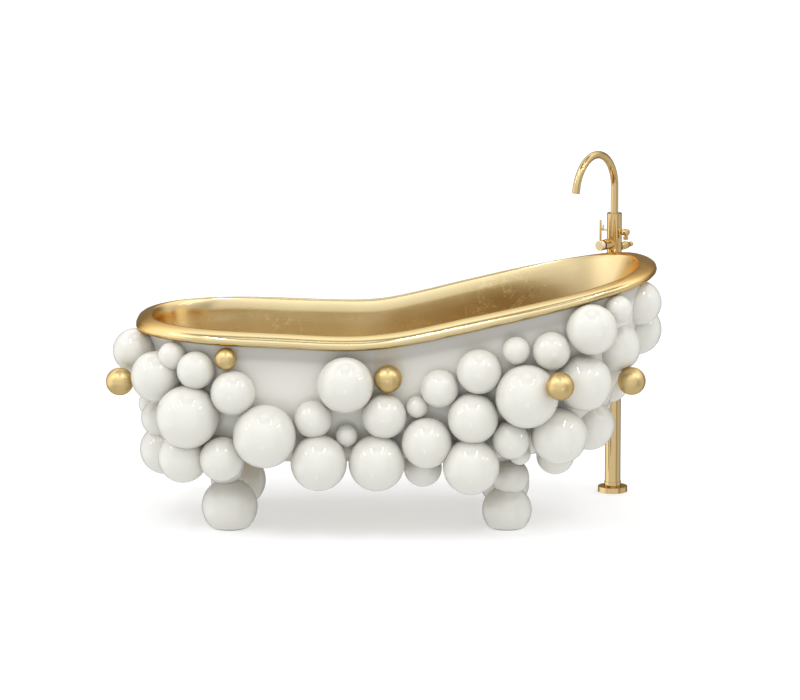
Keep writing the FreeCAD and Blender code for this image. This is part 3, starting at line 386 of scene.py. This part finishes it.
def tree_of(*names):
    """The named CAD solids as one surface that rays can hit."""
    points, faces = [], []
    for name in names:
        mesh = nodes[name].data
        first = len(points)
        points += [vertex.co.copy() for vertex in mesh.vertices]
        faces += [[first + k for k in face.vertices] for face in mesh.polygons]
    return BVHTree.FromPolygons(points, faces)


def evened(ring, times):
    """A closed ring of vectors with its small jitter smoothed away."""
    for _ in range(times):
        ring = [(ring[k - 1] + ring[k] * 2 + ring[(k + 1) % len(ring)]) / 4 for k in range(len(ring))]
    return ring


def rim_frames():
    """Centre, outward and upward direction round the roll, felt out on its solid from above and below."""
    roll = tree_of("rim_roll")
    low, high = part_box("rim_roll")
    centre, half = (low + high) / 2, (high - low) / 2
    line = []
    for step in range(rim_steps):
        turn = 2 * math.pi * step / rim_steps
        hits = []
        for share in range(*felt_shares):
            x = centre.x + half.x * math.cos(turn) * share / 1000
            y = centre.y + half.y * math.sin(turn) * share / 1000
            top = roll.ray_cast(Vector((x, y, high.z + felt_distance)), Vector((0, 0, -1)))[0]
            bottom = roll.ray_cast(Vector((x, y, low.z - felt_distance)), Vector((0, 0, 1)))[0]
            if top:
                hits.append((top + bottom) / 2)
        line.append((hits[0] + hits[-1]) / 2)
    line = evened(line, line_passes)
    leans, end = [], rim_steps // 2
    for k in range(rim_steps):
        side = k if k <= end else rim_steps - k
        before, after = line[max(side - lean_span, 0)], line[min(side + lean_span, end)]
        leans.append(Vector((after.z - before.z, 0, before.x - after.x)).normalized())
    frames = []
    for k, (place, lean) in enumerate(zip(line, evened(leans, lean_passes))):
        along = line[(k + 1) % rim_steps] - line[k - 1]
        out = along.cross(lean).normalized()
        frames.append((place, out, out.cross(along).normalized()))
    return frames


def swept(name, rows):
    """A closed skin through rows of points: the first ring round the bath is drawn on from row to row."""
    mesh = bmesh.new()
    first = [mesh.verts.new(point) for point in rows[0]]
    ring = [mesh.edges.new((first[k - 1], first[k])) for k in range(len(first))]
    corners = first
    for row in rows[1:] + rows[:1]:
        drawn = bmesh.ops.extrude_edge_only(mesh, edges=ring)["geom"]
        ring = [part for part in drawn if isinstance(part, bmesh.types.BMEdge)]
        fresh = {part for part in drawn if isinstance(part, bmesh.types.BMVert)}
        drawn_from = {edge.other_vert(corner): corner for corner in fresh for edge in corner.link_edges
                      if edge.other_vert(corner) not in fresh}
        corners = [drawn_from[corner] for corner in corners]
        for corner, point in zip(corners, row):
            corner.co = point
    bmesh.ops.weld_verts(mesh, targetmap=dict(zip(corners, first)))
    bmesh.ops.recalc_face_normals(mesh, faces=mesh.faces)
    for face in mesh.faces:
        face.smooth = True
    for edge in mesh.edges:
        edge.smooth = edge.calc_face_angle(0) < sharp_angle
    data = bpy.data.meshes.new(name)
    mesh.to_mesh(data)
    mesh.free()
    piece = bpy.data.objects.new(name, data)
    bpy.context.scene.collection.objects.link(piece)
    return piece


def gold_rim(frames):
    """The roll with the shoulder that leads down into the basin."""
    basin = tree_of("inner_basin")
    rows, leaf = [], []

    def row(leafing, place_of):
        rows.append([place_of(*frame) for frame in frames])
        leaf.append(leafing)

    def raised(place):
        """0 on the low part of the bath, 1 on its raised end."""
        return min(1, max(0, (place.x - raised_start) / raised_length))

    def flatter(place, height):
        """The crest is lower at the raised end, where the mixer tilts over the rim."""
        return 1 - raised_drop * raised(place) if height > 0 else 1

    def wall(place, out, up, height, inset):
        level = place + up * (height * millimetre)
        hit = basin.ray_cast(level - out * inside_start, out)[0]
        return hit - out * (inset * millimetre)

    first_height, first_inset, _ = wall_section[0]
    deep_height, deep_inset, _ = wall_section[2]
    crest_out = roll_section[-1][0]
    for out_by, up_by in roll_section:
        row(0, lambda p, out, up: p + (out * out_by + up * up_by * flatter(p, up_by)) * millimetre)
    for height, share in shoulder_section:
        def shoulder(p, out, up):
            foot = (wall(p, out, up, first_height, first_inset) - p).dot(out) / millimetre
            deep = (wall(p, out, up, deep_height, deep_inset) - p).dot(out) / millimetre
            lean = max(0, (foot - deep) / (first_height - deep_height)) * raised(p)
            face = min(crest_out, foot + lean * (height - first_height))
            reach = crest_out * (1 - share) + face * share
            return p + (out * reach + up * height * flatter(p, height)) * millimetre
        row(shoulder_leaf * share, shoulder)
    for height, inset, leafing in wall_section:
        row(leafing, lambda p, out, up: wall(p, out, up, height, inset))
    for height, inset in wall_back:
        row(1, lambda p, out, up: wall(p, out, up, height, inset))
    piece = swept("gold_rim_and_shoulder", rows)
    share = piece.data.attributes.new("leaf_share", "FLOAT", "POINT")
    share.data.foreach_set("value", [value for value in leaf for _ in frames])
    piece.data.materials.append(finishes["gold_rim"])
    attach(piece, "bath")
    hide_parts("rim_roll")


# White shell: depths below the roll where the collar flares into the skirt, in millimetres
flare_depths = [0, 7, 14, 21, 28, 35, 42, 49, 56, 63, 70, 78, 86, 96, 108, 122, 140]
# Share of the painted shade in the band under the roll at each of those depths
painted_shade_shares = [1, 1, 1, 1, 1, 1, 0.85, 0.6, 0.48, 0.43, 0.38, 0.33, 0.28, 0.22, 0.16, 0.1, 0.04]
# Rows from there down to the foot, and the rows of the outside that the inside follows on its way back up
skirt_rows = 14
inside_rows = (-1, -6, len(flare_depths), 9, 0)
# In metres: thickness, underside of the roll below its centre line, gaps at top and foot, how far out the
# rays to the skirt start and how far they reach, and how far in a point stands where they miss
shell_wall = 0.006
roll_under = 0.0194
top_gap = 0.0004
foot_gap = 0.0003
ray_start = 0.3
ray_length = 0.7
missed_inset = 0.003


def white_shell(frames):
    """Skirt and collar as one wall with a soft flare under the roll, and a band of painted shade under it."""
    skin = tree_of("outer_skirt", "skirt_collar")
    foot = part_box("outer_skirt")[0].z + foot_gap
    tops = [place - up * roll_under for place, _, up in frames]
    ways = [Vector((out.x, out.y, 0)).normalized() for _, out, _ in frames]
    columns = []
    for (place, _, _), top, way in zip(frames, tops, ways):
        heights = [top.z - top_gap - depth * millimetre for depth in flare_depths]
        last = heights[-1]
        heights += [last + (foot - last) * (n + 1) / skirt_rows for n in range(skirt_rows)]
        column = []
        for height in heights:
            start = Vector((top.x, top.y, height)) + way * ray_start
            hit = skin.ray_cast(start, -way, ray_length)[0]
            column.append(hit or Vector((place.x, place.y, height)) - way * missed_inset)
        middle_rows = [(a + b * 2 + c) / 4 for a, b, c in zip(column, column[1:], column[2:])]
        column[2:len(flare_depths)] = middle_rows[1:len(flare_depths) - 1]
        columns.append(column)
    rows = [list(row) for row in zip(*columns)]
    inside = [[point - way * shell_wall for point, way in zip(rows[n], ways)] for n in inside_rows]
    piece = swept("white_shell", rows + inside)
    # Painted shade: each row's share of the darker band under the roll
    painted_shade_layer = piece.data.attributes.new("painted_shade_under_rim", "FLOAT", "POINT")
    shares = painted_shade_shares + [0] * (len(rows + inside) - len(painted_shade_shares))
    painted_shade_layer.data.foreach_set("value", [value for value in shares for _ in frames])
    piece.data.materials.append(finishes["white_shell"])
    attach(piece, "bath")
    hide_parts("outer_skirt", "skirt_collar")


rim = rim_frames()
gold_rim(rim)
white_shell(rim)


# Floor, light and camera

# Metres, apart from lens and sensor in millimetres, powers in watts, the pitch in degrees and levels of light
floor_size = 60
floor_drop = 0.0004
floor_glow = 0.47
sky_strength = 1.35
left_level, right_level, floor_level = 1.1, 0.6, 0.6
panel_place, panel_aim, panel_size, panel_power = (0.2, -0.8, 4.2), (0, 0, 0.4), (4.5, 3.0), 30
# Tubes and spots far up: their places and sizes are shares of that height
ceiling = 24
tube_lines, tube_row, tube_size, tube_power = (-2.0, -1.2, -0.4, 0.4, 1.2, 2.0), -0.45, (0.03, 0.6), 900
spot_places = [(-0.8, -0.83), (0, -0.83), (0.8, -0.83), (-0.73, 0.25), (0.05, 0.17)]
spot_size, spot_power = (0.035, 0.035), 16
camera_shift, camera_distance, camera_height, camera_pitch = 0.0125, 20, 4.5206, 11.2307
camera_lens, camera_sensor, camera_reach = 279.342, 36, 200


def floor():
    """Pale floor, a little bright by itself, that the glossy pieces don't mirror."""
    bpy.ops.mesh.primitive_plane_add(size=floor_size)
    ground = bpy.context.object
    ground.name = "floor"
    ground.location.z = -floor_drop
    ground.visible_glossy = False
    made = Finish("pale_floor")
    made.set(Roughness=0.7, Emission_Color=(1, 1, 1, 1), Emission_Strength=floor_glow)
    made.colour(made.mixed(made.noise(3.0), (0.50, 0.50, 0.50), (0.51, 0.51, 0.51)))
    ground.data.materials.append(made.material)


def surroundings():
    """A bright ceiling with a dim middle over grey walls in upright stripes, white to the camera itself."""
    world = bpy.data.worlds.new("studio")
    bpy.context.scene.world = world
    world.use_nodes = True
    tree = world.node_tree
    back = tree.nodes["Background"]
    back.inputs["Strength"].default_value = sky_strength
    seen = tree.nodes.new("ShaderNodeBackground")
    seen.inputs["Color"].default_value = (1, 1, 1, 1)
    way = tree.nodes.new("ShaderNodeTexCoord")
    split = tree.nodes.new("ShaderNodeSeparateXYZ")
    tree.links.new(way.outputs["Generated"], split.inputs[0])

    def ramp(value, low, high, stops):
        share = tree.nodes.new("ShaderNodeMapRange")
        share.inputs["From Min"].default_value = low
        share.inputs["From Max"].default_value = high
        tree.links.new(value, share.inputs["Value"])
        return ramp_in(tree, share.outputs["Result"], stops)

    def blend(share, below, above):
        made = tree.nodes.new("ShaderNodeMix")
        made.data_type = "RGBA"
        tree.links.new(share, made.inputs[0])
        tree.links.new(below, made.inputs[6])
        if isinstance(above, bpy.types.NodeSocket):
            tree.links.new(above, made.inputs[7])
        else:
            made.inputs[7].default_value = (above, above, above, 1)
        return made.outputs[2]

    walls = ramp(split.outputs["Y"], -1, 1, [
        (0.0, 0.75), (0.12, 0.75), (0.18, 0.12), (0.42, 0.16),
        (0.5, 0.55), (0.72, 0.5), (0.78, 0.1), (1.0, 0.2)])
    upward = ramp(split.outputs["Z"], 0, 1, [(0.2, 0.0), (0.5, 0.55), (0.75, 1.0)])
    downward = ramp(split.outputs["Z"], 0, -1, [(0.4, 0.0), (0.6, 1.0)])
    leftward = ramp(split.outputs["X"], -0.5, -0.95, [(0.0, 0.0), (1.0, 1.0)])
    rightward = ramp(split.outputs["X"], 0.6, 0.95, [(0.0, 0.0), (1.0, 1.0)])
    sides = blend(rightward, blend(leftward, walls, left_level), right_level)
    level = blend(downward, sides, floor_level)
    overhead = ramp(split.outputs["Z"], 0, 1, [
        (0.6, 1.2), (0.82, 1.2), (0.9, 0.38), (0.975, 0.34), (0.99, 1.0)])
    tree.links.new(blend(upward, level, overhead), back.inputs["Color"])
    path = tree.nodes.new("ShaderNodeLightPath")
    mix = tree.nodes.new("ShaderNodeMixShader")
    tree.links.new(path.outputs["Is Camera Ray"], mix.inputs["Fac"])
    tree.links.new(back.outputs[0], mix.inputs[1])
    tree.links.new(seen.outputs[0], mix.inputs[2])
    tree.links.new(mix.outputs[0], tree.nodes["World Output"].inputs["Surface"])


def lamp(name, place, aim, size, power):
    """A rectangular lamp that shines towards a point."""
    light = bpy.data.lights.new(name, "AREA")
    light.shape = "RECTANGLE"
    light.size, light.size_y = size
    light.energy = power
    made = bpy.data.objects.new(name, light)
    bpy.context.scene.collection.objects.link(made)
    made.location = place
    made.rotation_euler = (Vector(aim) - Vector(place)).to_track_quat("-Z", "Y").to_euler()
    return made


def ceiling_lamp(name, x, y, size, power):
    """A lamp on the ceiling that shines straight down."""
    place = Vector((x, y, 1)) * ceiling
    lamp(name, place, place - Vector((0, 0, 1)), [side * ceiling for side in size], power)


floor()
surroundings()
panel = lamp("top_panel", panel_place, panel_aim, panel_size, panel_power)
panel.visible_glossy = False
for number, x in enumerate(tube_lines):
    ceiling_lamp(f"ceiling_tube_{number}", x, tube_row, tube_size, tube_power)
for number, (x, y) in enumerate(spot_places):
    ceiling_lamp(f"ceiling_spot_{number}", x, y, spot_size, spot_power)

rim_low, rim_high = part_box("rim_roll")
rim_middle = (rim_low + rim_high) / 2
camera = bpy.data.objects.new("camera", bpy.data.cameras.new("camera"))
bpy.context.scene.collection.objects.link(camera)
camera.data.sensor_width = camera_sensor
camera.data.lens = camera_lens
camera.data.clip_end = camera_reach
camera.location = (rim_middle.x + camera_shift, rim_middle.y - camera_distance, camera_height)
camera.rotation_euler = (math.radians(90 - camera_pitch), 0, 0)
bpy.context.scene.camera = camera
bpy.context.scene.view_settings.view_transform = "Standard"
